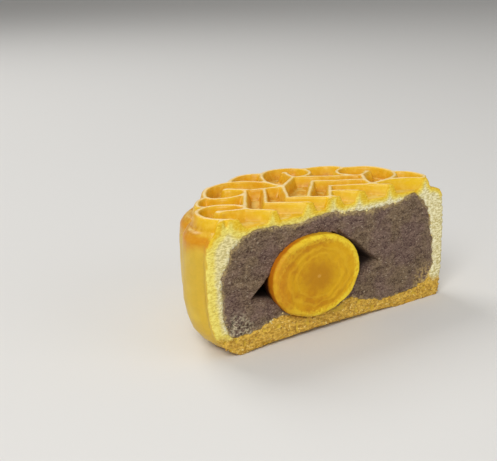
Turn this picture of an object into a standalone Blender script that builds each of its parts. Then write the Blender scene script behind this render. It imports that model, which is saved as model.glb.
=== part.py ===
"""Half of a lotus seed mooncake, standing on its flat base with the cut face towards -Y.

Three pieces: the moulded pastry crust, the dark paste that fills it, and the salted egg
yolk that stands a little proud of the cut. Shapes are worked out in millimetres about the
upright axis of the whole cake; the last step turns them into metres and puts the origin
under the middle of the half.
"""
import math

import bmesh
import bpy
from mathutils import Matrix, Vector

# The whole cake, in millimetres.
CREST_RADIUS = 38.0            # axis to the crest of a side lobe
VALLEY_RADIUS = 36.0           # axis to the valley between two lobes
LOBES = 16
FIRST_LOBE = math.radians(8.5)
LOBE_ROUNDING = 0.8            # below 1 the lobes are full and the valleys sharp
# Where knife and hand have pressed the side: angle and spread in degrees, and how far out.
PRESSED = [(-3.0, 9.0, 1.3), (146.0, 20.0, -0.5), (184.0, 7.0, -0.8)]
HEIGHT = 34.0                  # base to the middle of the pattern's crests
DOME = 0.6                     # how far the top falls away at DOME_RADIUS
DOME_RADIUS = 34.0
SINK = 0.8                     # the top has sunk a little at the back left
SINK_MIDDLE = (-22.0, 22.0)
SINK_SPREAD = 13.0
CUT_PAST_AXIS = 1.15           # the knife passed this far in front of the axis
POINTS_PER_LOBE = 8

# Side wall from base to rim: inset from the lobed outline, and height. The left side has
# these full insets at its foot, and the right side only a part of them.
FOOT = [(8.4, 0.0), (6.0, 1.2), (3.6, 3.3), (1.8, 5.7), (0.7, 9.0), (0.1, 13.0)]
FOOT_SHARE_RIGHT = 0.2
RIM = [(0.0, 19.0), (0.2, 25.0), (0.6, 28.4), (1.7, 30.1)]
RIM_INNER_RADIUS = 34.6        # the low rim ends here, or
RIM_WIDTH = 2.4                # this far in from the lobed outline
RIM_HEIGHT = 30.7
FLOOR_RADIUS = 33.0            # the sunk floor of the pattern ends here
FLOOR_RINGS = (25.0, 17.0, 9.0)

# Raised fret and scroll pattern.
RELIEF = 2.6                   # crest above the sunk floor
RIDGE_TOP = 1.1                # width of a ridge at its crest
RIDGE_FOOT = 2.8               # width of a ridge at the floor
RIDGE_ROOT = 5.4               # depth to which a ridge is let into the body
BULB_TOP = 2.2                 # knob at the end of a scroll's hook
BULB_SIDES = 10
STRAIGHT_STEP = 6.0            # longest straight piece of a ridge
CURVE_STEP = 1.9               # longest piece of a curved ridge
STROKE_LIFT = 0.006            # keeps the tops of crossing ridges in different planes
END_REACH = 0.3                # a ridge runs this far into the one it meets
REACH_STEP = 0.017             # and each one a little farther than the last

# The pattern's quarter in plan. The other three follow by quarter turns.
FRET = {
    "inner": [(0.0, 0.0), (6.3, 8.3), (15.6, 3.1)],
    "middle": [(-4.2, 3.1), (5.9, 15.0), (17.4, 7.6)],
    "outer": [(-3.1, 15.6), (4.6, 22.0), (20.0, 11.9)],
    "end": [(20.0, 11.9), (17.4, 7.6), (15.6, 3.1)],
}
SCROLLS = {
    "stem": [(-3.1, 15.6), (-3.7, 21.9)],
    "tall scroll": [(-3.7, 21.9), (-2.6, 25.1), (-1.3, 28.0), (1.0, 31.0), (4.2, 32.7),
                    (7.8, 32.6), (10.8, 31.2), (12.4, 28.8), (12.7, 26.4), (11.7, 24.0),
                    (9.4, 21.7), (6.8, 21.1)],
    "side scroll": [(21.9, 3.7), (25.1, 5.2), (28.0, 7.8), (29.8, 11.5), (29.5, 15.7),
                    (27.6, 19.0), (24.5, 21.2), (21.4, 22.0), (18.8, 21.0), (17.0, 18.8),
                    (16.7, 16.2), (17.5, 14.4)],
    "cap": [(-10.4, 29.8), (-7.8, 32.2), (-4.7, 33.3), (-1.6, 32.6), (0.5, 30.7)],
    "bar": [(12.8, 28.0), (15.7, 28.2), (18.7, 26.9), (20.8, 24.6), (21.6, 22.2)],
    "tall hook": [(4.6, 22.0), (5.2, 24.5), (6.0, 26.9)],
    "side hook": [(20.0, 11.9), (21.4, 12.8), (23.2, 14.1)],
}
HOOKS = ("tall hook", "side hook")

# Filling: half profiles in the cut, as distance from the axis and height, from the middle
# of the bottom round the side to the middle of the top. Both share their first and last.
FILLING_LEFT = [(0.0, 5.2), (9.0, 5.3), (15.0, 7.4), (21.0, 6.3), (26.0, 4.9), (30.2, 5.4),
                (31.9, 9.0), (32.0, 15.0), (31.6, 20.5), (29.8, 25.4), (26.6, 28.6),
                (22.5, 29.8), (13.0, 29.2), (6.0, 29.3), (0.0, 29.6)]
FILLING_RIGHT = [(0.0, 5.2), (6.0, 7.0), (11.0, 5.0), (16.0, 4.1), (22.0, 3.8), (28.0, 4.3),
                 (32.4, 5.8), (33.9, 10.0), (33.8, 16.5), (32.4, 22.8), (30.4, 27.2),
                 (26.8, 30.0), (20.0, 28.4), (11.5, 28.2), (0.0, 29.6)]
FILLING_SIDES = 48

# Yolk, seen square to the cut.
YOLK_MIDDLE = (-5.9, 15.6)     # x and z
YOLK_HALF_WIDTH = 13.0
YOLK_HALF_HEIGHT = 10.3
YOLK_SHOULDER = 0.8            # the fuller upper left
YOLK_SHOULDER_AT = math.radians(150)
YOLK_SHOULDER_WIDTH = math.radians(34)
YOLK_PROUD = 2.0               # stands in front of the cut
YOLK_DEPTH = 12.6              # reaches behind the cut
YOLK_EDGE = 0.7                # rounding of its cut edge
YOLK_SIDES = 40
YOLK_RINGS = 8

# Crevices between yolk and filling: corners in the cut as x and z, and how deep they go.
LEFT_CREVICE = [(-16.5, 20.2), (-25.3, 13.2), (-14.0, 8.8)]
RIGHT_CREVICE = [(0.5, 26.8), (13.4, 14.6), (5.0, 12.0)]
CREVICE_DEPTH = 7.0
CREVICE_LEAD = 1.4             # each wedge starts this far in front of the cut

# The underside is lifted a little along the cut.
ARCH_MIDDLE_X = -3.0
ARCH_HALF_SIZE = (24.0, 9.0, 1.1)
ARCH_SEGMENTS = 24
ARCH_RINGS = 8

GAP = 0.3                      # left between the pieces
BEYOND = 60.0                  # a cutter reaches this far past the cake
MM = 0.001

CUT_Y = -CUT_PAST_AXIS


def crest_height(x, y):
    """Height of the pattern's crests above a point of the base."""
    off = math.hypot(x - SINK_MIDDLE[0], y - SINK_MIDDLE[1]) / SINK_SPREAD
    return HEIGHT - DOME * (math.hypot(x, y) / DOME_RADIUS) ** 2 - SINK * math.exp(-off * off)


def lobed_radius(angle):
    """Distance from the axis to the lobed wall at its fullest."""
    wave = abs(math.cos(LOBES / 2 * (angle - FIRST_LOBE))) ** LOBE_ROUNDING
    radius = VALLEY_RADIUS + (CREST_RADIUS - VALLEY_RADIUS) * wave
    for degrees, spread, out in PRESSED:
        off = math.remainder(angle - math.radians(degrees), 2 * math.pi) / math.radians(spread)
        radius += out * math.exp(-off * off)
    return radius


def polar(radius, angle, z):
    return Vector((radius * math.cos(angle), radius * math.sin(angle), z))


def add_object(name, bm, collection=None):
    """Turn a bmesh with outward faces into an object of the scene."""
    bmesh.ops.recalc_face_normals(bm, faces=bm.faces)
    mesh = bpy.data.meshes.new(name)
    bm.to_mesh(mesh)
    bm.free()
    obj = bpy.data.objects.new(name, mesh)
    (collection or bpy.context.scene.collection).objects.link(obj)
    return obj


def add_cutter(name, bm):
    """A helper solid that is only cut away from others."""
    obj = add_object(name, bm)
    obj.hide_render = True
    obj.display_type = "WIRE"
    return obj


def loft(bm, rings):
    """Join rings of equally many points with quads, and cap both ends."""
    loops = [[bm.verts.new(point) for point in ring] for ring in rings]
    for lower, upper in zip(loops, loops[1:]):
        for here in range(len(lower)):
            after = (here + 1) % len(lower)
            bm.faces.new((lower[here], lower[after], upper[after], upper[here]))
    for loop in (loops[0], loops[-1]):
        bm.faces.new(loop)


def apply_modifiers(obj):
    """Keep the evaluated mesh and drop the modifiers."""
    depsgraph = bpy.context.evaluated_depsgraph_get()
    mesh = bpy.data.meshes.new_from_object(obj.evaluated_get(depsgraph))
    obj.modifiers.clear()
    old = obj.data
    obj.data = mesh
    bpy.data.meshes.remove(old)


def boolean(obj, operation, other):
    """One exact Boolean with an object or with a collection of objects."""
    step = obj.modifiers.new(operation.lower(), "BOOLEAN")
    step.operation = operation
    step.solver = "EXACT"
    if isinstance(other, bpy.types.Collection):
        step.operand_type = "COLLECTION"
        step.collection = other
    else:
        step.object = other
    apply_modifiers(obj)


def remove(obj):
    mesh = obj.data
    bpy.data.objects.remove(obj)
    bpy.data.meshes.remove(mesh)


def body():
    """The whole cake with its lobed side, low rim and sunk, slightly domed top."""
    count = LOBES * POINTS_PER_LOBE
    angles = [FIRST_LOBE + 2 * math.pi * i / count for i in range(count)]
    rings = []
    for inset, z in FOOT:
        ring = []
        for angle in angles:
            right = (1 + math.cos(angle)) / 2
            share = 1 + (FOOT_SHARE_RIGHT - 1) * right
            ring.append(polar(lobed_radius(angle) - inset * share, angle, z))
        rings.append(ring)
    for inset, z in RIM:
        rings.append([polar(lobed_radius(angle) - inset, angle, z) for angle in angles])
    rings.append([polar(min(RIM_INNER_RADIUS, lobed_radius(angle) - RIM_WIDTH), angle, RIM_HEIGHT)
                  for angle in angles])
    for radius in (FLOOR_RADIUS,) + FLOOR_RINGS:
        ring = [polar(radius, angle, 0) for angle in angles]
        for point in ring:
            point.z = crest_height(point.x, point.y) - RELIEF
        rings.append(ring)
    bm = bmesh.new()
    loft(bm, rings)
    return add_object("crust", bm)


def smooth_path(points):
    """A Catmull-Rom curve through the points."""
    first = points[0] * 2 - points[1]
    last = points[-1] * 2 - points[-2]
    padded = [first] + points + [last]
    path = []
    for before, start, end, after in zip(padded, padded[1:], padded[2:], padded[3:]):
        pieces = max(1, math.ceil((end - start).length / CURVE_STEP))
        for piece in range(pieces):
            t = piece / pieces
            path.append(0.5 * (2 * start + (end - before) * t
                               + (2 * before - 5 * start + 4 * end - after) * t ** 2
                               + (3 * start - before - 3 * end + after) * t ** 3))
    return path + [points[-1]]


def straight_path(points):
    """The same straight lines, cut into pieces short enough to follow the dome."""
    path = []
    for start, end in zip(points, points[1:]):
        pieces = max(1, math.ceil((end - start).length / STRAIGHT_STEP))
        path += [start.lerp(end, piece / pieces) for piece in range(pieces)]
    return path + [points[-1]]


def lengthened(points, reach):
    """The same path with both ends drawn out."""
    start = points[0] + (points[0] - points[1]).normalized() * reach
    end = points[-1] + (points[-1] - points[-2]).normalized() * reach
    return [start] + points[1:-1] + [end]


def half_width(depth):
    """Half the width of a ridge at a depth below its crest."""
    return (RIDGE_TOP + (RIDGE_FOOT - RIDGE_TOP) * depth / RELIEF) / 2


def ridge(path, lift):
    """A ridge with a flat crest and sloping sides along a path in plan."""
    rings = []
    for index, point in enumerate(path):
        into = (point - path[index - 1]).normalized() if index else None
        out = (path[index + 1] - point).normalized() if index + 1 < len(path) else None
        along = ((into or out) + (out or into)).normalized()
        mitre = 1 / max(0.5, along.dot(into or out))
        side = Vector((-along.y, along.x, 0)) * mitre
        crest = point.to_3d()
        crest.z = crest_height(point.x, point.y) + lift
        root = Vector((0, 0, -RIDGE_ROOT))
        rings.append([crest - side * half_width(0), crest + side * half_width(0),
                      crest + root + side * half_width(RIDGE_ROOT),
                      crest + root - side * half_width(RIDGE_ROOT)])
    bm = bmesh.new()
    loft(bm, rings)
    return bm


def bulb(point, lift):
    """The round knob in which a hook ends."""
    slope = half_width(RIDGE_ROOT) - half_width(0)
    bm = bmesh.new()
    rings = []
    for depth, radius in ((0, BULB_TOP / 2), (RIDGE_ROOT, BULB_TOP / 2 + slope)):
        z = crest_height(point.x, point.y) + lift - depth
        ring = [point.to_3d() + polar(radius, 2 * math.pi * i / BULB_SIDES, z)
                for i in range(BULB_SIDES)]
        rings.append(ring)
    loft(bm, rings)
    return bm


def quarter_turn(point, turns):
    for _ in range(turns):
        point = Vector((-point.y, point.x))
    return point


def pattern():
    """All ridges that lie behind the cut, as a collection."""
    ridges = bpy.data.collections.new("ridges")
    bpy.context.scene.collection.children.link(ridges)
    strokes = [(name, points) for table in (FRET, SCROLLS) for name, points in table.items()]
    for number, (name, points) in enumerate(strokes):
        for turns in range(4):
            turned = [quarter_turn(Vector(point), turns) for point in points]
            if max(point.y for point in turned) < CUT_Y - half_width(RIDGE_ROOT):
                continue
            rank = 4 * number + turns
            lift = STROKE_LIFT * rank
            turned = lengthened(turned, END_REACH + REACH_STEP * rank)
            path = straight_path(turned) if name in FRET else smooth_path(turned)
            add_object(f"{name} {turns}", ridge(path, lift), ridges)
            if name in HOOKS:
                add_object(f"{name} knob {turns}", bulb(turned[-1], lift / 2), ridges)
    return ridges


def filling_shape(grow):
    """The whole filling. Its two half profiles blend into each other round the axis."""
    rings = []
    for side in range(FILLING_SIDES):
        angle = 2 * math.pi * side / FILLING_SIDES
        right = (1 + math.cos(angle)) / 2
        ring = []
        for (r0, z0), (r1, z1) in zip(FILLING_LEFT[1:-1], FILLING_RIGHT[1:-1]):
            radius = r0 + (r1 - r0) * right
            z = z0 + (z1 - z0) * right
            outward = grow if z > HEIGHT / 2 else -grow
            ring.append(polar(radius + grow, angle, z + outward))
        rings.append(ring)
    bottom = Vector((0, 0, FILLING_LEFT[0][1] - grow))
    top = Vector((0, 0, FILLING_LEFT[-1][1] + grow))
    bm = bmesh.new()
    loops = [[bm.verts.new(point) for point in ring] for ring in rings]
    low = bm.verts.new(bottom)
    high = bm.verts.new(top)
    for here, after in zip(loops, loops[1:] + loops[:1]):
        for start in range(len(here) - 1):
            bm.faces.new((here[start], after[start], after[start + 1], here[start + 1]))
        bm.faces.new((low, after[0], here[0]))
        bm.faces.new((high, here[-1], after[-1]))
    return bm


def yolk_radius(angle):
    """The yolk's outline in the cut: an oval with one fuller shoulder."""
    across = math.cos(angle) / YOLK_HALF_WIDTH
    upright = math.sin(angle) / YOLK_HALF_HEIGHT
    off = math.remainder(angle - YOLK_SHOULDER_AT, 2 * math.pi) / YOLK_SHOULDER_WIDTH
    return 1 / math.hypot(across, upright) + YOLK_SHOULDER * math.exp(-off * off)


def yolk_shape(grow):
    """The yolk: a flat cut face with a rounded edge, and a round back."""
    # Each station: distance behind the cut, share of the outline, inset.
    stations = [(-YOLK_PROUD - grow, 1.0, YOLK_EDGE), (YOLK_EDGE - YOLK_PROUD, 1.0, 0.0)]
    for ring in range(YOLK_RINGS):
        turn = math.pi / 2 * ring / YOLK_RINGS
        stations.append((YOLK_DEPTH * math.sin(turn), math.cos(turn), 0.0))
    rings = []
    for behind, share, inset in stations:
        ring = []
        for side in range(YOLK_SIDES):
            angle = 2 * math.pi * side / YOLK_SIDES
            radius = yolk_radius(angle) * share - inset + grow
            ring.append(Vector((YOLK_MIDDLE[0] + radius * math.cos(angle), CUT_Y + behind,
                                YOLK_MIDDLE[1] + radius * math.sin(angle))))
        rings.append(ring)
    bm = bmesh.new()
    loft(bm, rings)
    return bm


def crevice(corners):
    """A wedge that narrows from in front of the cut to a point behind it."""
    middle_x = sum(x for x, _ in corners) / len(corners)
    middle_z = sum(z for _, z in corners) / len(corners)
    widening = 1 + CREVICE_LEAD / CREVICE_DEPTH
    bm = bmesh.new()
    front = [bm.verts.new((middle_x + (x - middle_x) * widening, CUT_Y - CREVICE_LEAD,
                           middle_z + (z - middle_z) * widening)) for x, z in corners]
    tip = bm.verts.new((middle_x, CUT_Y + CREVICE_DEPTH, middle_z))
    bm.faces.new(front)
    for index, start in enumerate(front):
        bm.faces.new((start, front[(index + 1) % len(front)], tip))
    return bm


def knife():
    """Everything in front of the cut."""
    bm = bmesh.new()
    bmesh.ops.create_cube(bm, size=2 * BEYOND)
    bmesh.ops.translate(bm, verts=bm.verts, vec=(0, CUT_Y - BEYOND, 0))
    return bm


def arch():
    """The shallow hollow under the middle of the cut."""
    bm = bmesh.new()
    bmesh.ops.create_uvsphere(bm, u_segments=ARCH_SEGMENTS, v_segments=ARCH_RINGS, radius=1.0)
    bmesh.ops.scale(bm, verts=bm.verts, vec=ARCH_HALF_SIZE)
    bmesh.ops.translate(bm, verts=bm.verts, vec=(ARCH_MIDDLE_X, CUT_Y, 0))
    return bm


def material(name, colour, roughness):
    result = bpy.data.materials.new(name)
    result.use_nodes = True
    shader = result.node_tree.nodes["Principled BSDF"]
    shader.inputs["Base Color"].default_value = (*colour, 1)
    shader.inputs["Roughness"].default_value = roughness
    shader.inputs["Metallic"].default_value = 0.0
    return result


def finish(obj, surface, smooth_below):
    """Give a piece its surface, and smooth the edges flatter than an angle."""
    obj.data.materials.clear()
    obj.data.materials.append(surface)
    obj.data.shade_smooth()
    obj.data.set_sharp_from_angle(angle=math.radians(smooth_below))


def main():
    for obj in list(bpy.data.objects):
        bpy.data.objects.remove(obj)

    cut_away = add_cutter("knife", knife())
    cavity = add_cutter("cavity", filling_shape(GAP))
    pocket = add_cutter("pocket", yolk_shape(GAP))
    hollow = add_cutter("hollow", arch())
    crevices = [add_cutter("left crevice", crevice(LEFT_CREVICE)),
                add_cutter("right crevice", crevice(RIGHT_CREVICE))]

    crust = body()
    ridges = pattern()
    boolean(crust, "UNION", ridges)
    for cutter in (cut_away, cavity, pocket, hollow):
        boolean(crust, "DIFFERENCE", cutter)

    filling = add_object("filling", filling_shape(0))
    for cutter in [cut_away, pocket] + crevices:
        boolean(filling, "DIFFERENCE", cutter)

    yolk = add_object("yolk", yolk_shape(0))

    for obj in list(ridges.objects) + [cut_away, cavity, pocket, hollow] + crevices:
        remove(obj)
    bpy.data.collections.remove(ridges)

    pieces = (crust, filling, yolk)
    corners = [vertex.co for piece in pieces for vertex in piece.data.vertices]
    middle_x = (min(c.x for c in corners) + max(c.x for c in corners)) / 2
    middle_y = (min(c.y for c in corners) + max(c.y for c in corners)) / 2
    to_metres = Matrix.Scale(MM, 4) @ Matrix.Translation((-middle_x, -middle_y, 0))
    for piece in pieces:
        piece.data.transform(to_metres)

    finish(crust, material("baked crust", (0.73, 0.38, 0.05), 0.4), 35)
    finish(filling, material("bean paste", (0.12, 0.085, 0.07), 0.8), 50)
    finish(yolk, material("salted yolk", (0.78, 0.38, 0.015), 0.45), 50)


main()
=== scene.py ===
# %% [markdown]
# # Half of a lotus seed mooncake
# The cake is a thin baked crust pressed in a carved mould, filled with a dark seed paste
# that holds a salted egg yolk. It has been cut through the middle, and the knife has left
# a matt, crumbly face next to the glazed golden outside. The plain solids of the three
# pieces are loaded first, and every cell below dresses one of them.

# %% Load the three solids
import math

import bmesh
import bpy
import numpy as np
from mathutils import Matrix, Vector, bvhtree, kdtree


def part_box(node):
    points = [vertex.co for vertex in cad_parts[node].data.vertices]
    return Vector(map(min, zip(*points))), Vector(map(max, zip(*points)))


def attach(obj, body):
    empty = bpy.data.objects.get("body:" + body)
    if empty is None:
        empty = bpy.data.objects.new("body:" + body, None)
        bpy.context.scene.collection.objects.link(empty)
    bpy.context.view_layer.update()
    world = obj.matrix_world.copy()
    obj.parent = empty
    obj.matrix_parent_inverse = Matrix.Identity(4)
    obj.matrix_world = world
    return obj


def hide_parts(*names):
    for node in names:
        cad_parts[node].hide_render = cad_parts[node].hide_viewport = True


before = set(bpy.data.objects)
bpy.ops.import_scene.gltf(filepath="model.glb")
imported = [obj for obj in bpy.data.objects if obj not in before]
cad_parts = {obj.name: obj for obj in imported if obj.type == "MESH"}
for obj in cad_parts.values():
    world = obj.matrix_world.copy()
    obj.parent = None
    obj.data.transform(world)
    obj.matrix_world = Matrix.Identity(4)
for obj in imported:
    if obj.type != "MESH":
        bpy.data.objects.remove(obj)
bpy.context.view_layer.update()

# %% [markdown]
# ## Where things are
# All later places are worked out from the crust's box. The knife's plane is its front, and
# the cake's upright axis lies a little behind that plane, because the knife passed in front
# of the middle. Keeping these as named values means that no later cell has to guess.

# %% Places measured on the crust
MM = 0.001
crust_low, crust_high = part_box("crust")
CUT_Y = crust_low.y
AXIS_Y = CUT_Y + 1.15 * MM
AXIS_X = crust_high.x - 38.2 * MM
TOP_Z = crust_high.z
print(f"cut plane y {CUT_Y / MM:.2f} mm, axis x {AXIS_X / MM:.2f} mm, top {TOP_Z / MM:.2f} mm")

# %% [markdown]
# ## Points, normals and masks
# Relief is made by moving vertices. Small helpers read the points and normals of a mesh as
# arrays and write the points back. `ease` turns a measure into a soft mask from 0 to 1, and
# also runs backwards when its first limit is the larger one.

# %% Helpers for points
def vectors(source, field, count):
    values = np.empty(count * 3, np.float32)
    source.foreach_get(field, values)
    return values.reshape(-1, 3).astype(float)


def points_of(piece):
    return vectors(piece.data.vertices, "co", len(piece.data.vertices))


def normals_of(piece):
    return vectors(piece.data.vertex_normals, "vector", len(piece.data.vertices))


def move_points(piece, points):
    piece.data.vertices.foreach_set("co", points.astype(np.float32).ravel())
    piece.data.update()


def ease(low, high, values):
    t = np.clip((values - low) / (high - low), 0, 1)
    return t * t * (3 - 2 * t)

# %% [markdown]
# ## Soft noise and grains
# `soft_noise` gives a smooth random value at any place in space, so neighbouring points
# move alike: it makes swells and waves. `grains` packs space with rounded lumps, one in
# each cell of a grid, and is 1 in the middle of a lump and near 0 between lumps: it makes
# crumb. Both are worked out in numpy, which is quick for hundreds of thousands of points.

# %% Noise helpers
TABLE_SIZE = 8192                          # a power of two, so & wraps an index round
PRIMES = (73856093, 19349663, 83492791)    # they keep neighbouring cells unlike each other
LUMP_REACH = 0.7                           # in cells, squared
NO_LUMP = 9.0                              # in cells, squared: farther than any lump


def cell_numbers(cell, seed, count):
    table = np.random.default_rng(seed).uniform(0, 1, (TABLE_SIZE, count))
    across, back, up = (cell[:, axis] * prime for axis, prime in enumerate(PRIMES))
    return table[(across ^ back ^ up) & (TABLE_SIZE - 1)]


def soft_noise(points, size, seed):
    scaled = points / size
    cell = np.floor(scaled).astype(np.int64)
    part = scaled - cell
    part = part * part * (3 - 2 * part)
    total = np.zeros(len(points))
    for corner in np.ndindex(2, 2, 2):
        share = np.where(corner, part, 1 - part).prod(axis=1)
        total += share * cell_numbers(cell + corner, seed, 1)[:, 0]
    return 2 * total - 1


def grains(points, size, seed):
    scaled = points / size
    cell = np.floor(scaled).astype(np.int64)
    nearest = np.full(len(points), NO_LUMP)
    for corner in np.ndindex(3, 3, 3):
        here = cell + corner - 1
        middle = here + cell_numbers(here, seed, 3)
        nearest = np.minimum(nearest, ((scaled - middle) ** 2).sum(axis=1))
    return np.clip(1 - nearest / LUMP_REACH, 0, 1)

# %% [markdown]
# ## A fine, even mesh
# The solids have long thin triangles, which can't carry crumbs or dimples. A Remesh
# modifier in voxel mode rebuilds a shape from small quads of one size, and a few rounds of
# the Smooth modifier then round its sharp edges as baking does. Subdividing would keep the
# long triangles, so it isn't used here.

# %% Rebuild a solid from small quads
def apply_modifiers(piece):
    depsgraph = bpy.context.evaluated_depsgraph_get()
    mesh = bpy.data.meshes.new_from_object(piece.evaluated_get(depsgraph))
    piece.modifiers.clear()
    piece.data = mesh


def plain_copy(name, node):
    piece = bpy.data.objects.new(name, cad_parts[node].data.copy())
    bpy.context.scene.collection.objects.link(piece)
    piece.data.materials.clear()
    piece.modifiers.new("close seams", "WELD").merge_threshold = 0.0001 * MM
    apply_modifiers(piece)
    return piece


def rebuild(piece, voxel, rounding):
    remesh = piece.modifiers.new("even quads", "REMESH")
    remesh.mode = "VOXEL"
    remesh.voxel_size = voxel
    smooth = piece.modifiers.new("round edges", "SMOOTH")
    smooth.factor = 0.5
    smooth.iterations = rounding
    apply_modifiers(piece)
    print(piece.name, "has", len(piece.data.vertices), "vertices")

# %% [markdown]
# ## How far is a neighbour?
# Two measures steer what follows. The distance to a neighbouring solid tells where dough
# meets paste. In the knife's plane, the distance to the nearest baked skin tells how deep
# inside the dough a point lies. Blender's BVH and KD trees answer both quickly.

# %% Distance helpers
def solid_tree(node):
    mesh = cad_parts[node].data
    corners = [vertex.co for vertex in mesh.vertices]
    return bvhtree.BVHTree.FromPolygons(corners, [face.vertices for face in mesh.polygons])


def gap_to(tree, points, chosen, limit):
    result = np.full(len(points), limit)
    for index in np.flatnonzero(chosen):
        distance = tree.find_nearest(points[index], limit)[3]
        if distance is not None:
            result[index] = distance
    return result


def depth_inside(points, skin, chosen, limit):
    tree = kdtree.KDTree(int(skin.sum()))
    for number, index in enumerate(np.flatnonzero(skin)):
        tree.insert((points[index, 0], 0, points[index, 2]), number)
    tree.balance()
    result = np.full(len(points), limit)
    for index in np.flatnonzero(chosen):
        result[index] = min(limit, tree.find((points[index, 0], 0, points[index, 2]))[2])
    return result


TREES = {node: solid_tree(node) for node in ("crust", "filling", "yolk")}
print("search trees for:", sorted(TREES))

# %% [markdown]
# ## The crust's form
# The crust is the largest piece: scalloped side, low rim, and the raised fret and scroll
# pattern that the mould leaves on top. The solid already has all of these, so a fine copy
# is enough, with its ridges rounded a little, because dough never fills a mould's corners.

# %% Crust: fine copy
crust = plain_copy("crust_baked", "crust")
rebuild(crust, voxel=0.25 * MM, rounding=4)

# %% [markdown]
# ## Regions of the crust
# Each region has its own finish, so each gets a mask. `depth` is the distance below the
# gently domed plane of all crests, which also dips at the back left. `cut` is the face that
# the knife made, `seam` the distance to the filling and `inside` the distance to the skin.

# %% Crust: regions
DOME = 0.6 * MM
DOME_RADIUS = 34 * MM
SINK = 0.8 * MM
SINK_X = AXIS_X - 22 * MM
SINK_Y = AXIS_Y + 22 * MM
SINK_SPREAD = 13 * MM
FAR = 9 * MM               # no distance is measured beyond this
NEAR_CUT = 2.5 * MM        # and only this far behind the knife's plane


def crest_height(points):
    from_axis = np.hypot(points[:, 0] - AXIS_X, points[:, 1] - AXIS_Y)
    off = np.hypot(points[:, 0] - SINK_X, points[:, 1] - SINK_Y) / SINK_SPREAD
    return TOP_Z - DOME * (from_axis / DOME_RADIUS) ** 2 - SINK * np.exp(-off * off)


def crust_regions(piece):
    points, normals = points_of(piece), normals_of(piece)
    behind = points[:, 1] - CUT_Y
    cut = ease(0.45 * MM, 0.2 * MM, behind) * ease(0.3, 0.6, -normals[:, 1])
    near = behind < NEAR_CUT
    seam = gap_to(TREES["filling"], points, near, FAR)
    skin = (behind > 0.4 * MM) & (behind < 1.4 * MM) & (seam > 1.0 * MM)
    inside = depth_inside(points, skin, near, FAR)
    return {"cut": cut, "behind": behind, "seam": seam, "inside": inside,
            "depth": crest_height(points) - points[:, 2]}


regions = crust_regions(crust)
print("share of vertices on the cut:", round(float(regions["cut"].mean()), 3))

# %% [markdown]
# ## Softer crests and a rolled edge
# Dough leaves the mould with rounded crests. On the left of the cut the skin also rolls
# over, while on the right it broke off sharp. The Smooth modifier can be limited to a
# vertex group, so extra rounds of it soften just these places. Smoothing lowers the thin
# crests a little, so they are lifted back.

# %% Crust: soft crests, rolled edge
WEIGHT_STEPS = 20          # vertices with nearly the same weight are added together
CREST_LIFT = 0.22 * MM


def group(piece, name, weights):
    made = piece.vertex_groups.new(name=name)
    steps = np.round(np.clip(weights, 0, 1) * WEIGHT_STEPS).astype(int)
    for step in range(1, WEIGHT_STEPS + 1):
        chosen = np.flatnonzero(steps == step)
        if len(chosen):
            made.add(chosen.tolist(), step / WEIGHT_STEPS, "REPLACE")


def soften(piece, weights, rounds):
    group(piece, "soft", weights)
    smooth = piece.modifiers.new("soften", "SMOOTH")
    smooth.vertex_group = "soft"
    smooth.factor = 0.5
    smooth.iterations = rounds
    apply_modifiers(piece)
    piece.vertex_groups.clear()
    print(piece.name, "softened at", int((weights > 0.5).sum()), "vertices")


points = points_of(crust)
past_cut = ease(0.2 * MM, 0.8 * MM, regions["behind"])
left_edge = ease(2.2 * MM, 0.8 * MM, regions["behind"])
left_edge *= ease(1.6 * MM, 0.6 * MM, regions["inside"])
left_edge *= ease(-26 * MM, -31 * MM, points[:, 0])
left_edge *= ease(30.5 * MM, 28 * MM, points[:, 2])
soften(crust, left_edge, rounds=24)
soften(crust, ease(2.2 * MM, 1.4 * MM, regions["depth"]) * past_cut, rounds=7)
points = points_of(crust)
low_crests = ease(1.2 * MM, 0.4 * MM, crest_height(points) - points[:, 2])
points[:, 2] += CREST_LIFT * low_crests * past_cut
move_points(crust, points)

# %% [markdown]
# ## Where dough meets paste
# The line between the two was never smooth: each has pushed into the other. One sideways
# wave, used for both pieces wherever they are near each other, keeps them fitted together.

# %% The wavering seam
WAVE, RIPPLE = 0.45, 0.30              # how far, in millimetres
WAVE_SIZE, RIPPLE_SIZE = 3.0 * MM, 1.1 * MM


def waver(points):
    flat = points * (1, 0, 1)
    across = WAVE * soft_noise(flat, WAVE_SIZE, 31) + RIPPLE * soft_noise(flat, RIPPLE_SIZE, 32)
    upward = WAVE * soft_noise(flat, WAVE_SIZE, 33) + RIPPLE * soft_noise(flat, RIPPLE_SIZE, 34)
    return MM * np.stack([across, np.zeros(len(points)), upward], axis=1)


regions = crust_regions(crust)
points = points_of(crust)
share = ease(2.2 * MM, 0.4 * MM, regions["seam"]) * ease(0.2 * MM, 1.4 * MM, regions["inside"])
moved = waver(points) * share[:, None]
points += moved
move_points(crust, points)
print(f"the crust's seam wavers by up to {np.abs(moved).max() / MM:.2f} mm")

# %% [markdown]
# ## Crust relief: skin
# Nothing baked is quite regular. The whole skin swells and sinks by up to a fifth of a
# millimetre, and the ridges wander a little from side to side.

# %% Crust: skin relief
points, normals = points_of(crust), normals_of(crust)
cut, height = regions["cut"], points[:, 2]
skin_share = (1 - cut) * ease(0, 1.5 * MM, height)
swell = 0.16 * soft_noise(points, 7 * MM, 1) + 0.05 * soft_noise(points, 1.8 * MM, 2)
points += normals * (swell * skin_share * MM)[:, None]

wander = 0.25 * MM * ease(28 * MM, 31 * MM, height) * (1 - cut)
wander *= ease(0, 2 * MM, regions["behind"])
points[:, 0] += wander * soft_noise(points, 4 * MM, 3)
points[:, 1] += wander * soft_noise(points, 4 * MM, 4)
print(f"the skin swells by up to {np.abs(swell).max():.2f} mm")

# %% [markdown]
# ## Crust relief: torn crumb
# The cut face is a packing of small crumbs, finer just under the pattern. Along the bottom,
# where the crust is driest, they are coarse and some have fallen out. The right edge broke
# off ragged.

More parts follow.
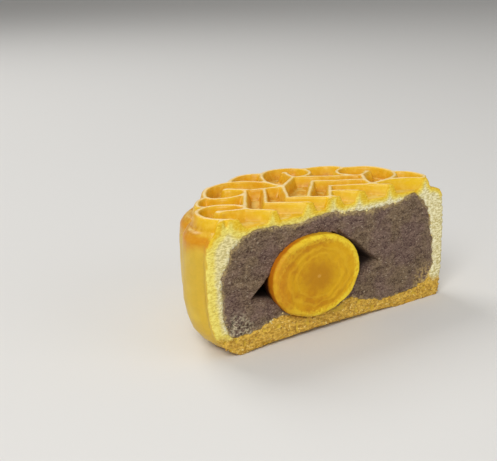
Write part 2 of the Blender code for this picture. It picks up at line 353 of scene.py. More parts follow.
# %% Crust: crumb relief
CRUMB_REACH = 0.35 * MM    # no crumb stands farther in front of the knife's plane
crumb = 0.09 * grains(points, 0.7 * MM, 5) + 0.12 * soft_noise(points, 0.55 * MM, 6) - 0.06
coarse = 0.14 * grains(points, 1.0 * MM, 7) + 0.14 * soft_noise(points, 0.6 * MM, 17) - 0.10
fallen = 0.45 * ease(0.25, 0.7, soft_noise(points, 1.1 * MM, 8))
low_rim = 6.2 * MM + 1.2 * MM * soft_noise(points, 4 * MM, 9)
dry = ease(low_rim + 0.8 * MM, low_rim - 0.8 * MM, height)
crumb *= 1 - 0.7 * ease(27 * MM, 29.5 * MM, height)
points[:, 1] -= MM * cut * (crumb + dry * (coarse - fallen))

ragged = ease(1.2 * MM, 0.2 * MM, regions["inside"])
ragged *= ease(1.6 * MM, 0.4 * MM, regions["behind"])
ragged *= ease(29 * MM, 33 * MM, points[:, 0]) * ease(0.2 * MM, 1.5 * MM, height)
points[:, 0] += MM * ragged * (0.55 * grains(points, 1.1 * MM, 10) - 0.3)
points[:, 1] = np.maximum(points[:, 1], CUT_Y - CRUMB_REACH)
move_points(crust, points)
print(f"crumb up to {crumb.max():.2f} mm high, pits up to {fallen.max():.2f} mm deep")

# %% [markdown]
# ## Cutters
# A Boolean modifier takes away whatever a second closed mesh covers. Every cutter here is
# convex, so the hull of its corners makes it, with all faces pointing out.

# %% Helpers for cutting
def carve(piece, corners):
    bm = bmesh.new()
    bmesh.ops.convex_hull(bm, input=[bm.verts.new(corner) for corner in corners])
    bmesh.ops.recalc_face_normals(bm, faces=bm.faces)
    mesh = bpy.data.meshes.new("cutter")
    bm.to_mesh(mesh)
    bm.free()
    cutter = bpy.data.objects.new("cutter", mesh)
    bpy.context.scene.collection.objects.link(cutter)
    piece.modifiers.new("carve", "BOOLEAN").object = cutter
    apply_modifiers(piece)
    bpy.data.objects.remove(cutter)
    print(piece.name, "carved, now", len(piece.data.polygons), "faces")

# %% [markdown]
# ## The filling's form
# The solid keeps a hair's gap to the crust and to the yolk, and real paste touches both.
# Near the cut its outer points are moved out along their normals by a Displace modifier
# with a vertex group, so that the two creases beside the yolk stay open, and a large box
# then cuts the front flat again where the knife passed. Farther back nobody sees the gap.

# %% Filling: grow it to its neighbours
GROWTH = 0.9 * MM
BY_CRUST, BY_YOLK = 0.7 * MM, 0.5 * MM     # closer than this counts as beside it
YOLK_SIDE_GROWTH = 0.45                    # as a share of the growth beside the crust
BEYOND, BOX_DEPTH = 60 * MM, 30 * MM       # the box reaches past the whole cake

filling = plain_copy("filling_paste", "filling")
points = points_of(filling)
everywhere = np.ones(len(points), bool)
by_crust = gap_to(TREES["crust"], points, everywhere, FAR) < BY_CRUST
by_yolk = gap_to(TREES["yolk"], points, everywhere, FAR) < BY_YOLK
touching = np.where(by_crust, 1.0, np.where(by_yolk, YOLK_SIDE_GROWTH, 0.0))
group(filling, "touching", touching * ease(4 * MM, 2 * MM, points[:, 1] - CUT_Y))
grow = filling.modifiers.new("grow", "DISPLACE")
grow.vertex_group = "touching"
grow.mid_level = 0
grow.strength = GROWTH
apply_modifiers(filling)
filling.vertex_groups.clear()
carve(filling, [(x, y, z) for x in (-BEYOND, BEYOND) for y in (CUT_Y - BOX_DEPTH, CUT_Y)
                for z in (-BOX_DEPTH, BEYOND)])

# %% [markdown]
# ## The creases beside the yolk
# As the knife pushed the yolk, the paste tore away from it: a dark gash on the left, made
# of two blocks that overlap, and a crescent on the right. The solid has both, and here they
# are cut steeper, so that they go dark as the real ones do. Each list has a block's corners
# in the cut, in millimetres across and up from the foot of the cake's axis.

# %% Filling: deep creases
GASH_ENDS = ((-1.5 * MM, 1.08), (7 * MM, 0.6))     # behind the cut, and how wide there
GASHES = [
    [(-18.6, 19.0), (-6.0, 14.0), (-10.0, 11.3), (-25.4, 13.2)],
    [(-17.6, 14.0), (-8.0, 12.0), (-10.0, 5.8), (-15.8, 9.8)],
    [(-1.0, 25.8), (7.0, 21.4), (15.2, 14.2), (9.0, 12.6), (0.0, 12.0)],
]
for corners in GASHES:
    flat = np.array(corners) * MM + (AXIS_X, 0)
    middle = flat.mean(axis=0)
    block = []
    for behind, spread in GASH_ENDS:
        block += [(x, CUT_Y + behind, z) for x, z in middle + (flat - middle) * spread]
    carve(filling, block)
rebuild(filling, voxel=0.24 * MM, rounding=1)

# %% [markdown]
# ## Filling relief
# The cut paste is a mass of fine grains. Past the line where the dough begins it dips, so
# that dough and paste meet in an uneven, crumbly seam. The lower corners have dried out and
# are full of small holes. Rays cast down on the crust tell how high the paste may reach
# without showing through the thin dough between the ridges.

# %% Filling: grain, holes and seam
RAY_START = 50 * MM
HIGH_PASTE = 26 * MM       # only paste above this can come near the pattern
SKIN_COVER = 0.7 * MM
DRIED_Z = 5.5 * MM
DRIED_LEFT_X, DRIED_RIGHT_X = AXIS_X - 29.5 * MM, AXIS_X + 31.5 * MM


def keep_under_skin(points, cover):
    for index in np.flatnonzero(points[:, 2] > HIGH_PASTE):
        x, y, z = points[index]
        start = (x, max(y, CUT_Y + 0.1 * MM), RAY_START)
        hit = TREES["crust"].ray_cast(start, (0, 0, -1))[0]
        if hit is not None:
            points[index, 2] = min(z, hit.z - cover)


def dried_corners(points):
    left = np.hypot(points[:, 0] - DRIED_LEFT_X, points[:, 2] - DRIED_Z)
    right = np.hypot(points[:, 0] - DRIED_RIGHT_X, points[:, 2] - DRIED_Z)
    return ease(7.0 * MM, 2 * MM, left), ease(6.5 * MM, 1 * MM, right)


points, normals = points_of(filling), normals_of(filling)
behind = points[:, 1] - CUT_Y
front = ease(0.5 * MM, 0.15 * MM, behind) * ease(0.3, 0.7, -normals[:, 1])
near = behind < NEAR_CUT
beyond = gap_to(TREES["filling"], points, near, FAR)
beyond[~near] = 0
to_crust = gap_to(TREES["crust"], points, near, FAR)
points += waver(points) * ease(2.2 * MM, 0.4 * MM, to_crust)[:, None]
keep_under_skin(points, SKIN_COVER)

grain = 0.15 * grains(points, 0.62 * MM, 11) + 0.08 * soft_noise(points, 2.4 * MM, 12) - 0.07
dried_left, dried_right = dried_corners(points)
holes = 0.6 * dried_left * ease(0.0, 0.5, soft_noise(points, 0.9 * MM, 14))
holes += 0.35 * dried_right * ease(0.1, 0.6, soft_noise(points, 0.8 * MM, 15))
seam_dip = 1.1 * np.maximum(0, beyond / MM - 0.25 + 0.35 * soft_noise(points, 0.8 * MM, 16))
points[:, 1] += MM * front * (holes + seam_dip - grain)
move_points(filling, points)
print(f"grain up to {grain.max():.2f} mm high, holes up to {holes.max():.2f} mm deep, "
      f"seam up to {(front * seam_dip).max():.2f} mm deep")

# %% [markdown]
# ## The yolk
# A salted yolk is firm and waxy. It stands in front of the cut because the soft paste gave
# way and the yolk didn't. Its cut face is nearly flat, with faint rings and a fine grain.

# %% Yolk: form and relief
RINGS = 38.0               # turns of the sine from the yolk's middle to its outline, in radians
yolk = plain_copy("yolk_salted", "yolk")
rebuild(yolk, voxel=0.2 * MM, rounding=4)
yolk_low, yolk_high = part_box("yolk")
YOLK_X = (yolk_low.x + yolk_high.x) / 2
YOLK_Z = (yolk_low.z + yolk_high.z) / 2
YOLK_HALF = ((yolk_high.x - yolk_low.x) / 2, (yolk_high.z - yolk_low.z) / 2)
print(f"yolk {2 * YOLK_HALF[0] / MM:.1f} mm wide, {2 * YOLK_HALF[1] / MM:.1f} mm high")


def yolk_share(points):
    """0 in the middle of the yolk's face and 1 at its outline."""
    return np.hypot((points[:, 0] - YOLK_X) / YOLK_HALF[0], (points[:, 2] - YOLK_Z) / YOLK_HALF[1])


points, normals = points_of(yolk), normals_of(yolk)
share = yolk_share(points)
face = ease(0.5, 0.8, -normals[:, 1])
rim_swell = ease(0.8, 1.0, share) * (0.15 + 0.2 * soft_noise(points, 4 * MM, 25))
swell = 0.12 * soft_noise(points, 4 * MM, 22) + rim_swell
uneven = 0.06 * soft_noise(points, 1.0 * MM, 21) + swell
rings = 0.04 * np.sin(share * RINGS + 5 * soft_noise(points, 5 * MM, 23)) * ease(0.25, 0.6, share)
speckle = 0.16 * grains(points, 0.7 * MM, 24) * ease(0.78, 0.95, share)
points += normals * (MM * (uneven + face * (rings + speckle)))[:, None]
points[:, 1] = np.maximum(points[:, 1], yolk_low.y - 0.1 * MM)
move_points(yolk, points)

# %% [markdown]
# ## One crumb
# A crumb is a lump with no clear shape. It starts as a small ball of few faces, and later
# its points are pushed in and out, so that no two crumbs are alike.

# %% A crumb's ball
def lump():
    """Points and faces of a ball made of three rings and two ends."""
    levels, sides = (0.6, 0.0, -0.6), 6
    ball = [(0, 0, 1.0)]
    for level in levels:
        around = math.sqrt(1 - level * level)
        turns = [math.tau * i / sides for i in range(sides)]
        ball += [(around * math.cos(turn), around * math.sin(turn), level) for turn in turns]
    ball.append((0, 0, -1.0))
    last = len(ball) - 1
    faces = [(0, 1 + i, 1 + (i + 1) % sides) for i in range(sides)]
    for ring in range(len(levels) - 1):
        start = 1 + ring * sides
        below = start + sides
        faces += [(start + i, below + i, below + (i + 1) % sides, start + (i + 1) % sides)
                  for i in range(sides)]
    start = 1 + (len(levels) - 1) * sides
    faces += [(start + i, last, start + (i + 1) % sides) for i in range(sides)]
    return np.array(ball), faces

# %% [markdown]
# ## Loose crumbs
# Small crumbs cling to the cut, most of them along the seam and the bottom, where the knife
# dragged dough over paste. Vertices of the cut are drawn at random as their places, and
# each place is then shifted a little, so that the crumbs don't line up with the mesh. They
# sit half sunk in the face and are joined into one mesh.

# %% Crumbs
SMALLEST_CRUMB, LARGEST_CRUMB = 0.12 * MM, 0.36 * MM
SEAM_CHANCE, BOTTOM_CHANCE = 0.07, 0.03
STRAY = 0.35 * MM


def crumbs(name, places, smallest, largest, seed):
    random = np.random.default_rng(seed)
    ball, faces = lump()
    all_points, all_faces = [], []
    for place in places:
        size = smallest + (largest - smallest) * random.uniform() ** 2
        shape = ball * random.uniform(0.75, 1.25, (len(ball), 1)) * random.uniform(0.7, 1.3, 3)
        angle = random.uniform(0, math.tau)
        turn = np.array(Matrix.Rotation(angle, 3, Vector(random.normal(size=3))))
        start = len(ball) * len(all_points)
        all_points.append(place + size * shape @ turn.T)
        all_faces += [tuple(start + corner for corner in face) for face in faces]
    mesh = bpy.data.meshes.new(name)
    mesh.from_pydata(np.concatenate(all_points).tolist(), [], all_faces)
    mesh.shade_smooth()
    piece = bpy.data.objects.new(name, mesh)
    bpy.context.scene.collection.objects.link(piece)
    print(name, len(places), "crumbs")
    return piece


def pick(points, chance, seed):
    random = np.random.default_rng(seed)
    return points[random.uniform(size=len(points)) < chance]


regions = crust_regions(crust)
points = points_of(crust)
height = points[:, 2]
on_seam = regions["cut"] * ease(0.9 * MM, 0.2 * MM, regions["seam"])
at_bottom = regions["cut"] * ease(5.5 * MM, 4.0 * MM, height) * ease(0.4 * MM, 1.2 * MM, height)
places = pick(points, SEAM_CHANCE * on_seam + BOTTOM_CHANCE * at_bottom, 41)
stray = np.random.default_rng(43).normal(0, STRAY, places.shape) * (1, 0, 1)
dough_crumbs = crumbs("crumbs_of_dough", places + stray, SMALLEST_CRUMB, LARGEST_CRUMB, 42)

# %% [markdown]
# ## Keep the meshes light
# A Decimate modifier joins small faces where the surface is flat. With a vertex group it
# spares what shows and works hardest on what doesn't: the inner walls and the underside.

# %% Lighter meshes
CRUST_TRIANGLES, FILLING_TRIANGLES, YOLK_TRIANGLES = 195_000, 110_000, 60_000


def triangles(piece):
    return sum(len(face.vertices) - 2 for face in piece.data.polygons)


def lighten(piece, wanted, hidden):
    now = triangles(piece)
    group(piece, "hidden", hidden)
    thin = piece.modifiers.new("lighten", "DECIMATE")
    thin.ratio = min(1, wanted / now)
    thin.vertex_group = "hidden"
    apply_modifiers(piece)
    piece.vertex_groups.clear()
    piece.data.shade_smooth()
    print(piece.name, "from", now, "to", triangles(piece), "triangles")


points, normals = points_of(crust), normals_of(crust)
inner_wall = gap_to(TREES["filling"], points, points[:, 2] > 0, 0.6 * MM) < 0.59 * MM
unseen = ease(1.2 * MM, 2.5 * MM, points[:, 1] - CUT_Y) * inner_wall
underneath = ease(0.6, 0.9, -normals[:, 2]) * (points[:, 2] < 1.0 * MM)
plain_side = 0.12 * ease(4 * MM, 5 * MM, crest_height(points) - points[:, 2])
lighten(crust, CRUST_TRIANGLES, np.maximum(unseen, underneath) + plain_side)

points = points_of(filling)
lighten(filling, FILLING_TRIANGLES, ease(1.2 * MM, 2.5 * MM, points[:, 1] - CUT_Y))
points = points_of(yolk)
lighten(yolk, YOLK_TRIANGLES, ease(2.5 * MM, 4 * MM, points[:, 1] - CUT_Y))

# %% [markdown]
# ## Masks for the shaders
# A mask stored as a named attribute of the mesh can be read by a material, which then knows
# crest from hollow and cut from skin without any picture.

# %% Store the masks of the crust
SEAM_DEPTH = 2 * MM        # the seam is measured only this far behind the cut


def store(piece, name, values):
    attribute = piece.data.attributes.new(name, "FLOAT", "POINT")
    attribute.data.foreach_set("value", values.astype(np.float32))
    print(f"{piece.name}: mask {name}, mean {values.mean():.3f}")


def gap_across_seam(node, points, behind):
    return gap_to(TREES[node], points - waver(points), behind < SEAM_DEPTH, FAR) / MM


regions = crust_regions(crust)
points, normals = points_of(crust), normals_of(crust)
depth, upward, not_cut = regions["depth"], normals[:, 2], 1 - regions["cut"]
store(crust, "cut", regions["cut"])
store(crust, "seam", gap_across_seam("filling", points, regions["behind"]))
store(crust, "inside", regions["inside"] / MM)
store(crust, "depth", depth / MM)
store(crust, "crown", ease(3.9 * MM, 3.1 * MM, depth) * not_cut)
# the crest mask picks the upward-facing crest tops, which get a pale colour that is partly a
# painted highlight
store(crust, "crest", ease(0.7 * MM, 0.4 * MM, depth) * ease(0.92, 0.985, upward) * not_cut)
hollow = ease(1.9 * MM, 2.4 * MM, depth) * ease(3.4 * MM, 3.0 * MM, depth)
store(crust, "floor", hollow * ease(0.75, 0.95, upward) * not_cut)

# %% [markdown]
# ## Masks of the filling and the yolk
# The filling needs to know its dried corners, how far behind the knife's plane a point is,
# and how near the dough. The yolk needs its rings, its cut face and its depth.

# %% Store the masks of the filling and the yolk
points = points_of(filling)
behind = points[:, 1] - CUT_Y
dried_left, dried_right = dried_corners(points)
store(filling, "dried left", dried_left)
store(filling, "dried right", dried_right)
store(filling, "behind", behind / MM)
store(filling, "to dough", gap_across_seam("crust", points, behind))

points, normals = points_of(yolk), normals_of(yolk)
store(yolk, "share", yolk_share(points))
store(yolk, "face", ease(0.1, 0.5, -normals[:, 1]))
store(yolk, "behind", (points[:, 1] - CUT_Y) / MM)

# %% [markdown]
# ## Material helpers: patterns
# Colours are written as on a screen, from 0 to 255, and turned into the linear values that
# Blender works in. Every other helper adds one node or two and connects them, so that a
# material reads as a short list of steps. These first ones give it its patterns: a stored
# mask, a noise of a given size, or the place along an axis.

# %% Helpers for patterns
def colour(red, green, blue):
    values = [value / 255 for value in (red, green, blue)]
    linear = [v / 12.92 if v <= 0.04045 else ((v + 0.055) / 1.055) ** 2.4 for v in values]
    return (*linear, 1)


class BareFinish:
    """A material with one Principled shader, and helpers that give it patterns."""

    def __init__(self, name):
        self.material = bpy.data.materials.new(name)
        self.material.use_nodes = True
        self.tree = self.material.node_tree
        self.shader = self.tree.nodes["Principled BSDF"]
        self.place = self.tree.nodes.new("ShaderNodeTexCoord").outputs["Object"]

    def connect(self, value, socket):
        if isinstance(value, bpy.types.NodeSocket):
            self.tree.links.new(value, socket)
        else:
            socket.default_value = value

    def mask(self, name):
        node = self.tree.nodes.new("ShaderNodeAttribute")
        node.attribute_name = name
        return node.outputs["Fac"]

    def scaled(self, size, stretch):
        node = self.tree.nodes.new("ShaderNodeVectorMath")
        node.operation = "MULTIPLY"
        self.connect(self.place, node.inputs[0])
        node.inputs[1].default_value = [1 / (size * part) for part in stretch]
        return node.outputs[0]

    def noise(self, size, detail=3, stretch=(1, 1, 1), roughness=0.6):
        node = self.tree.nodes.new("ShaderNodeTexNoise")
        node.inputs["Scale"].default_value = 1
        node.inputs["Detail"].default_value = detail
        node.inputs["Roughness"].default_value = roughness
        self.connect(self.scaled(size, stretch), node.inputs["Vector"])
        return node.outputs["Fac"]

    def axis(self, index):
        node = self.tree.nodes.new("ShaderNodeSeparateXYZ")
        self.connect(self.place, node.inputs[0])
        return node.outputs[index]

# %% [markdown]
# ## Material helpers: mixing
# The rest compare, multiply and mix patterns, raise a fine bump and put the finish on a
# piece. A Mix node has a set of sockets for each kind of value and repeats their names, so
# they are picked by number.

# %% Helpers for mixing
NUMBER_SOCKETS = (2, 3, 0)     # of a Mix node: first, second and result
COLOUR_SOCKETS = (6, 7, 2)


class Finish(BareFinish):
    """Adds helpers that compare, multiply and mix patterns, and dress a piece."""

    def between(self, value, low, high):
        node = self.tree.nodes.new("ShaderNodeMapRange")
        node.interpolation_type = "SMOOTHSTEP"
        self.connect(value, node.inputs["Value"])
        node.inputs["From Min"].default_value = low
        node.inputs["From Max"].default_value = high
        return node.outputs["Result"]

    def maths(self, operation, first, second=0.0):
        node = self.tree.nodes.new("ShaderNodeMath")
        node.operation = operation
        self.connect(first, node.inputs[0])
        self.connect(second, node.inputs[1])
        return node.outputs[0]

    def times(self, *values):
        result = values[0]
        for value in values[1:]:
            result = self.maths("MULTIPLY", result, value)
        return result

    def mixed(self, data_type, sockets, share, first, second):
        node = self.tree.nodes.new("ShaderNodeMix")
        node.data_type = data_type
        self.connect(share, node.inputs[0])
        self.connect(first, node.inputs[sockets[0]])
        self.connect(second, node.inputs[sockets[1]])
        return node.outputs[sockets[2]]

    def mix(self, share, first, second):
        return self.mixed("RGBA", COLOUR_SOCKETS, share, first, second)

    def blend(self, share, first, second):
        return self.mixed("FLOAT", NUMBER_SOCKETS, share, first, second)

    def bump(self, height, distance, strength=1.0):
        node = self.tree.nodes.new("ShaderNodeBump")
        node.inputs["Distance"].default_value = distance
        self.connect(strength, node.inputs["Strength"])
        self.connect(height, node.inputs["Height"])
        self.connect(node.outputs["Normal"], self.shader.inputs["Normal"])

    def wear(self, piece):
        piece.data.materials.clear()
        piece.data.materials.append(self.material)
        print(piece.name, "wears", self.material.name, "of", len(self.tree.nodes), "nodes")

# %% [markdown]
# ## Crust finish: the baked skin
# The outside is brushed with egg before baking: tan gold on the side, deeper orange on the
# shoulder, yellower near the cut where the crust is thin, and pale on the crests, partly as
# baked and partly as a painted highlight. The hollows get a painted shade, darker orange the
# deeper they go.

# %% Crust: skin colours
skin = Finish("baked crust")
across, height = skin.axis(0), skin.axis(2)
back = skin.maths("SUBTRACT", skin.axis(1), CUT_Y)
broad = skin.between(skin.noise(8 * MM, 2), 0.35, 0.65)
fine = skin.between(skin.noise(0.8 * MM, 4, (1.6, 1.6, 0.7)), 0.3, 0.7)
uneven_height = skin.maths("ADD", height, skin.times(skin.noise(7 * MM, 3), 5 * MM))

side = skin.mix(broad, colour(226, 192, 66), colour(214, 176, 50))
shoulder = skin.between(uneven_height, 27.5 * MM, 31.5 * MM)
side = skin.mix(shoulder, side, colour(212, 139, 10))
side = skin.mix(skin.between(uneven_height, 5 * MM, 3 * MM), side, colour(206, 158, 48))
crown = skin.mix(broad, colour(234, 184, 20), colour(226, 164, 10))
crown = skin.mix(skin.between(back, 9 * MM, 0.5 * MM), crown, colour(236, 192, 18))
# painted shade: the hollows are darker orange the deeper they go, and more so farther behind the
# cut
deep = skin.maths("ADD", skin.mask("depth"), skin.times(skin.noise(1.8 * MM, 3), 1.2))
hollow_shade_share = skin.blend(skin.between(back, 0.5 * MM, 9 * MM), 0.3, 0.75)
deep = skin.times(skin.between(deep, 1.2, 3.2), hollow_shade_share)
crown = skin.mix(deep, crown, colour(192, 122, 10))
mottle = skin.between(skin.noise(1.3 * MM, 4), 0.44, 0.66)
crown = skin.mix(skin.times(mottle, 0.4), crown, colour(246, 208, 84))
flour = skin.times(skin.mask("floor"), skin.between(skin.noise(3 * MM, 3), 0.42, 0.62), 0.8)
crown = skin.mix(flour, crown, colour(232, 206, 118))
outside = skin.mix(skin.mask("crown"), side, crown)
outside = skin.mix(skin.times(fine, 0.22), outside, colour(238, 192, 64))
patchy = skin.blend(skin.between(skin.noise(1.6 * MM, 3), 0.3, 0.6), 0.6, 1.0)
# painted highlight: the crests are made pale, partly their own baked colour and partly light
# glinting on their tops
outside = skin.mix(skin.times(skin.mask("crest"), patchy), outside, colour(255, 226, 162))

# %% [markdown]
# ## Crust finish: the cut dough
# The cut shows the dough itself: lemon yellow near the skin on the left and along the top,
# amber just under the pattern, cream farther in and on the right, with darker pores between
# the crumbs and a brownish line where paste has smeared over it.

# %% Crust: dough colours
pores = skin.between(skin.noise(0.8 * MM, 4), 0.60, 0.70)
speck = skin.between(skin.noise(0.5 * MM, 4, (1.7, 1, 0.8)), 0.38, 0.62)
left = skin.between(across, 4 * MM, -4 * MM)
pale_cream = skin.mix(left, colour(252, 244, 200), colour(246, 234, 174))
cream = skin.mix(speck, colour(204, 188, 122), pale_cream)
crumbly = skin.between(skin.noise(0.6 * MM, 3), 0.48, 0.58)
crumbly = skin.times(skin.between(skin.mask("seam"), 2.0, 0.4), crumbly)
cream = skin.mix(crumbly, cream, colour(254, 248, 214))
lemon = skin.mix(speck, colour(224, 200, 84), colour(250, 234, 124))
amber = skin.mix(speck, colour(226, 182, 22), colour(240, 204, 60))
uneven_inside = skin.maths("ADD", skin.mask("inside"), skin.times(skin.noise(2 * MM, 3), 1.6))
upper = skin.between(height, 26.5 * MM, 29 * MM)
near_skin = skin.times(skin.between(uneven_inside, 3.6, 2.2), left)
near_top = skin.times(skin.between(uneven_inside, 2.7, 1.5), upper)
dough = skin.mix(skin.maths("MAXIMUM", near_skin, near_top), cream, lemon)
dough = skin.mix(skin.times(skin.between(uneven_inside, 2.0, 0.8), upper), dough, amber)
dough = skin.mix(skin.times(pores, 0.35), dough, colour(168, 146, 88))
ragged_seam = skin.maths("ADD", skin.mask("seam"), skin.times(skin.noise(0.8 * MM, 4), 2.6))
smeared = skin.times(skin.between(ragged_seam, 2.4, 1.0), 0.7)
dough = skin.mix(smeared, dough, colour(144, 120, 84))

# %% [markdown]
# ## Crust finish: the brown bottom
# The bottom of the dough baked longest and is golden brown with dark and pale grit. Under
# the paste this layer is thinner than at the two ends. The stored mask of the cut then
# chooses between dough and skin, in colour, roughness and bump.

# %% Crust: brown layer, and skin against dough
BROWN_BAND = (8.4 * MM, 6.4 * MM)      # the brown begins and is full at these heights
past_left = skin.between(across, -31 * MM, -25 * MM)
before_right = skin.between(across, 34 * MM, 29 * MM)
under_paste = skin.times(past_left, before_right)
lifted = skin.maths("SUBTRACT", height, skin.times(under_paste, 4.5 * MM))
lifted = skin.maths("ADD", lifted, skin.times(skin.noise(3 * MM, 3), 4 * MM))
grit = skin.between(skin.noise(0.55 * MM, 4, (1.5, 1, 0.8)), 0.28, 0.72)
brown = skin.mix(grit, colour(170, 124, 38), colour(240, 198, 86))
brown = skin.mix(skin.between(skin.noise(0.9 * MM, 4), 0.56, 0.84), brown, colour(120, 90, 40))
brown = skin.mix(skin.between(skin.noise(0.7 * MM, 3), 0.60, 0.68), brown, colour(246, 222, 140))
dough = skin.mix(skin.between(lifted, *BROWN_BAND), dough, brown)

frayed = skin.maths("ADD", skin.mask("cut"), skin.times(skin.noise(1.2 * MM, 3), 0.5))
torn = skin.between(frayed, 0.4, 1.1)
skin.connect(skin.mix(torn, outside, dough), skin.shader.inputs["Base Color"])
skin.connect(skin.blend(torn, 0.36, 0.9), skin.shader.inputs["Roughness"])
skin.shader.inputs["Specular IOR Level"].default_value = 0.3
skin.bump(skin.noise(0.45 * MM, 4), 0.09 * MM, skin.blend(torn, 0.2, 1.0))
skin.wear(crust)

# %% [markdown]
# ## Crumb finish
# The loose crumbs are bits of the same dough, some cream and some golden brown, so their
# colour changes with height as that of the crust does.

# %% Crumbs: colours
bits = Finish("dough crumbs")
shade = bits.between(bits.noise(1.0 * MM, 2), 0.35, 0.65)
pale = bits.mix(shade, colour(214, 194, 124), colour(242, 226, 160))
golden_brown = bits.mix(shade, colour(176, 132, 52), colour(222, 182, 82))
lift = bits.maths("ADD", bits.axis(2), bits.times(bits.noise(3 * MM, 3), 4 * MM))
crumb_colour = bits.mix(bits.between(lift, *BROWN_BAND), pale, golden_brown)
bits.connect(crumb_colour, bits.shader.inputs["Base Color"])
bits.shader.inputs["Roughness"].default_value = 0.85
bits.wear(dough_crumbs)

# %% [markdown]
# ## Filling finish
# Seen close, the paste is a mass of dark grains with paler ones between, brown grey in some
# parts and more purple in others. The dried left corner is speckled with white and black
# and the right one with straw. The paste is paler along the dough. Behind the knife's
# plane, down in the creases, it gets a painted shade that is nearly black.

# %% Filling: colours
paste = Finish("seed paste")
grain = paste.between(paste.noise(0.38 * MM, 4, (1.3, 1, 0.9), 0.65), 0.36, 0.64)
streak = paste.between(paste.noise(1.6 * MM, 4, (1.8, 1, 0.7)), 0.38, 0.62)
cloud = paste.between(paste.noise(7 * MM, 2), 0.35, 0.65)
dark = paste.mix(cloud, colour(70, 51, 38), colour(72, 50, 45))
light = paste.mix(cloud, colour(144, 122, 95), colour(138, 114, 100))
mass = paste.mix(paste.blend(0.3, grain, streak), dark, light)
pepper = paste.between(paste.noise(0.5 * MM, 3, (1.8, 1, 0.8)), 0.60, 0.68)
mass = paste.mix(paste.times(pepper, 0.7), mass, colour(186, 170, 144))
white = paste.between(paste.noise(0.7 * MM, 4), 0.46, 0.58)
mass = paste.mix(paste.times(white, paste.mask("dried left"), 0.85), mass, colour(212, 200, 166))
black = paste.between(paste.noise(1.0 * MM, 4), 0.52, 0.64)
mass = paste.mix(paste.times(black, paste.mask("dried left"), 0.8), mass, colour(44, 32, 24))
straw = paste.times(paste.between(paste.noise(0.7 * MM, 4), 0.42, 0.58), paste.mask("dried right"))
mass = paste.mix(paste.times(straw, 0.8), mass, colour(200, 168, 106))
fringe = paste.maths("ADD", paste.mask("to dough"), paste.times(paste.noise(1.3 * MM, 4), 3.4))
wider_above = paste.times(paste.between(paste.axis(2), 23 * MM, 27 * MM), 0.4)
fringe = paste.maths("SUBTRACT", fringe, wider_above)
fringe = paste.times(paste.between(fringe, 2.5, 1.1), paste.blend(grain, 0.35, 0.9))
mass = paste.mix(fringe, mass, colour(188, 164, 108))
# painted shade: the paste goes nearly black behind the knife's plane, down in the creases and the
# seam
mass = paste.mix(paste.between(paste.mask("behind"), 0.7, 3.0), mass, colour(40, 26, 18))
paste.connect(mass, paste.shader.inputs["Base Color"])
paste.shader.inputs["Roughness"].default_value = 0.8
paste.shader.inputs["Specular IOR Level"].default_value = 0.3
paste.bump(paste.noise(0.35 * MM, 4), 0.14 * MM)
paste.wear(filling)

# %% [markdown]
# ## Yolk finish: the cut face
# Deep golden orange, brighter on the right, with faint rings like those of a cut onion. The
# rings follow the stored distance from the middle and are bent by noise.

# %% Yolk: colours of the face
golden = Finish("salted yolk")
share, across = golden.mask("share"), golden.axis(0)
blotch = golden.between(golden.noise(3.2 * MM, 4), 0.36, 0.64)
heart = golden.mix(blotch, colour(198, 134, 6), colour(216, 162, 10))
bright_right = golden.times(golden.between(across, YOLK_X, YOLK_X + 11 * MM), 0.6)
heart = golden.mix(bright_right, heart, colour(230, 178, 12))
heart = golden.mix(golden.between(share, 0.5, 0.12), heart, colour(194, 134, 10))
bend = golden.times(golden.noise(5 * MM, 3), 14.0)
wavy = golden.maths("ADD", golden.times(share, RINGS), bend)
ring = golden.between(golden.maths("SINE", wavy), 0.1, 1.0)
ring = golden.times(ring, golden.between(share, 0.3, 0.6), 0.32)
heart = golden.mix(ring, heart, colour(234, 188, 40))
centre = golden.times(golden.between(share, 0.06, 0.02), 0.5)
heart = golden.mix(centre, heart, colour(226, 176, 80))
orange_left = golden.times(golden.between(across, YOLK_X - 7 * MM, YOLK_X - 12 * MM), 0.7)
heart = golden.mix(orange_left, heart, colour(208, 130, 12))

# %% [markdown]
# ## Yolk finish: rim and side
# Oil has left the yolk at its rim, which is a brighter, grainy yellow, less so on the left.
# The side is a dark orange, partly its own colour and partly painted shade, darker to the left.
# Behind the cut, down in the creases, a painted shade makes it nearly black.

# %% Yolk: rim and side
freckle = golden.noise(0.7 * MM, 4)
edge = golden.between(golden.maths("ADD", share, golden.times(freckle, 0.34)), 0.99, 1.12)
less_left = golden.blend(golden.between(across, YOLK_X - 11 * MM, YOLK_X), 0.3, 1.0)
edge = golden.times(edge, less_left)
patchy = golden.blend(golden.between(golden.noise(1.8 * MM, 3), 0.38, 0.55), 0.55, 1.0)
edge = golden.times(edge, patchy)
heart = golden.mix(edge, heart, colour(246, 214, 52))
# painted shade on the yolk's side: partly its own deeper orange, darker towards the left
to_right = golden.between(across, YOLK_X - 8 * MM, YOLK_X + 2 * MM)
flank_with_painted_shade = golden.mix(to_right, colour(196, 114, 12), colour(222, 170, 30))
heart = golden.mix(golden.mask("face"), flank_with_painted_shade, heart)
# painted shade: the yolk's side goes nearly black behind the cut, down in the creases
heart = golden.mix(golden.between(golden.mask("behind"), 0.0, 1.3), heart, colour(66, 34, 14))
golden.connect(heart, golden.shader.inputs["Base Color"])
golden.shader.inputs["Roughness"].default_value = 0.55
golden.shader.inputs["Specular IOR Level"].default_value = 0.22
golden.bump(freckle, 0.10 * MM)
golden.wear(yolk)

# %% [markdown]
# ## Studio floor
# The cake stands on a pale sweep of paper: a flat floor that curves up into a back wall, so
# that no edge shows.

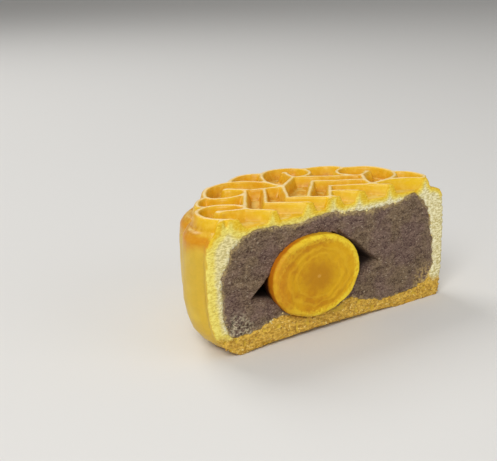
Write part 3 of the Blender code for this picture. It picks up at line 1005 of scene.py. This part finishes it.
# %% Floor
def paper_sweep():
    half_width, front_y, back_y, bend, top = 3.0, -1.5, 2.0, 0.6, 2.0
    turns = np.linspace(0, math.pi / 2, 12)
    profile = [(front_y, 0.0)]
    profile += [(back_y + bend * math.sin(t), bend - bend * math.cos(t)) for t in turns]
    profile += [(back_y + bend, top)]
    corners = [(x, y, z) for y, z in profile for x in (-half_width, half_width)]
    faces = [(i, i + 1, i + 3, i + 2) for i in range(0, len(corners) - 2, 2)]
    mesh = bpy.data.meshes.new("paper_sweep")
    mesh.from_pydata(corners, [], faces)
    mesh.shade_smooth()
    sweep = bpy.data.objects.new("paper_sweep", mesh)
    bpy.context.scene.collection.objects.link(sweep)
    return sweep


floor = paper_sweep()
paper = Finish("pale paper")
paper.shader.inputs["Base Color"].default_value = colour(226, 224, 220)
paper.shader.inputs["Roughness"].default_value = 0.9
paper.wear(floor)

# %% [markdown]
# ## Lights
# Three large soft lights leave gentle shadows: the key from the left, a weaker one from the
# right to fill the shade, and one from behind that brightens the top. A dim white world
# lights what none of them reaches.

# %% Lights
MID_CAKE = Vector((0, 0, 15 * MM))


def soft_light(name, place, size, watts):
    light = bpy.data.lights.new(name, "AREA")
    light.size = size
    light.energy = watts
    lamp = bpy.data.objects.new(name, light)
    lamp.location = place
    lamp.rotation_euler = (MID_CAKE - lamp.location).to_track_quat("-Z", "Y").to_euler()
    bpy.context.scene.collection.objects.link(lamp)
    print(name, "light of", watts, "W at", place)


soft_light("key", (-0.50, -0.45, 0.60), 0.40, 4.6)
soft_light("fill", (0.45, -0.80, 0.40), 0.60, 1.2)
soft_light("back", (-0.10, 0.60, 0.70), 0.50, 3.2)
world = bpy.data.worlds.new("studio")
world.use_nodes = True
backdrop = world.node_tree.nodes["Background"]
backdrop.inputs["Color"].default_value = (1, 1, 1, 1)
backdrop.inputs["Strength"].default_value = 0.30
bpy.context.scene.world = world
bpy.context.scene.view_settings.view_transform = "Standard"

# %% [markdown]
# ## Camera
# The camera stands in front and to the left, a little above the cake, and looks down at it.
# Its lens and shift are those that make the cut, the pattern and the lobes fall where the
# photograph has them.

# %% Camera
FRAME_WIDTH, FRAME_HEIGHT = 497, 461
LOOK_AT = Vector((AXIS_X, AXIS_Y + 15 * MM, 18 * MM))
TURN = math.radians(35.82)
TILT = math.radians(18.13)
ROLL = math.radians(-1.11)
DISTANCE = 240 * MM
FOCAL_PIXELS = 916.68
CENTRE_X, CENTRE_Y = 295.71, 243.79

ahead = math.cos(TILT)
forward = Vector((math.sin(TURN) * ahead, math.cos(TURN) * ahead, -math.sin(TILT)))
level = Vector((math.cos(TURN), -math.sin(TURN), 0))
upright = level.cross(forward)
right = level * math.cos(ROLL) + upright * math.sin(ROLL)
up = upright * math.cos(ROLL) - level * math.sin(ROLL)
lens = bpy.data.cameras.new("camera")
lens.sensor_width = 36
lens.lens = FOCAL_PIXELS / FRAME_WIDTH * lens.sensor_width
lens.shift_x = (FRAME_WIDTH / 2 - CENTRE_X) / FRAME_WIDTH
lens.shift_y = (CENTRE_Y - FRAME_HEIGHT / 2) / FRAME_WIDTH
lens.clip_start = 10 * MM
camera = bpy.data.objects.new("camera", lens)
turned = Matrix((right, up, -forward)).transposed().to_4x4()
camera.matrix_world = Matrix.Translation(LOOK_AT - forward * DISTANCE) @ turned
bpy.context.scene.collection.objects.link(camera)
bpy.context.scene.camera = camera
print(f"lens of {lens.lens:.1f} mm, {DISTANCE / MM:.0f} mm from the cake")

# %% [markdown]
# ## Pieces on the cake's body
# Each dressed piece stands for its solid and moves with the whole cake: it hangs from the
# cake's body, and its solid is hidden.

# %% Tie the pieces to the frame
for piece, node in ((crust, "crust"), (filling, "filling"), (yolk, "yolk")):
    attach(piece, "root")
    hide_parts(node)
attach(dough_crumbs, "root")
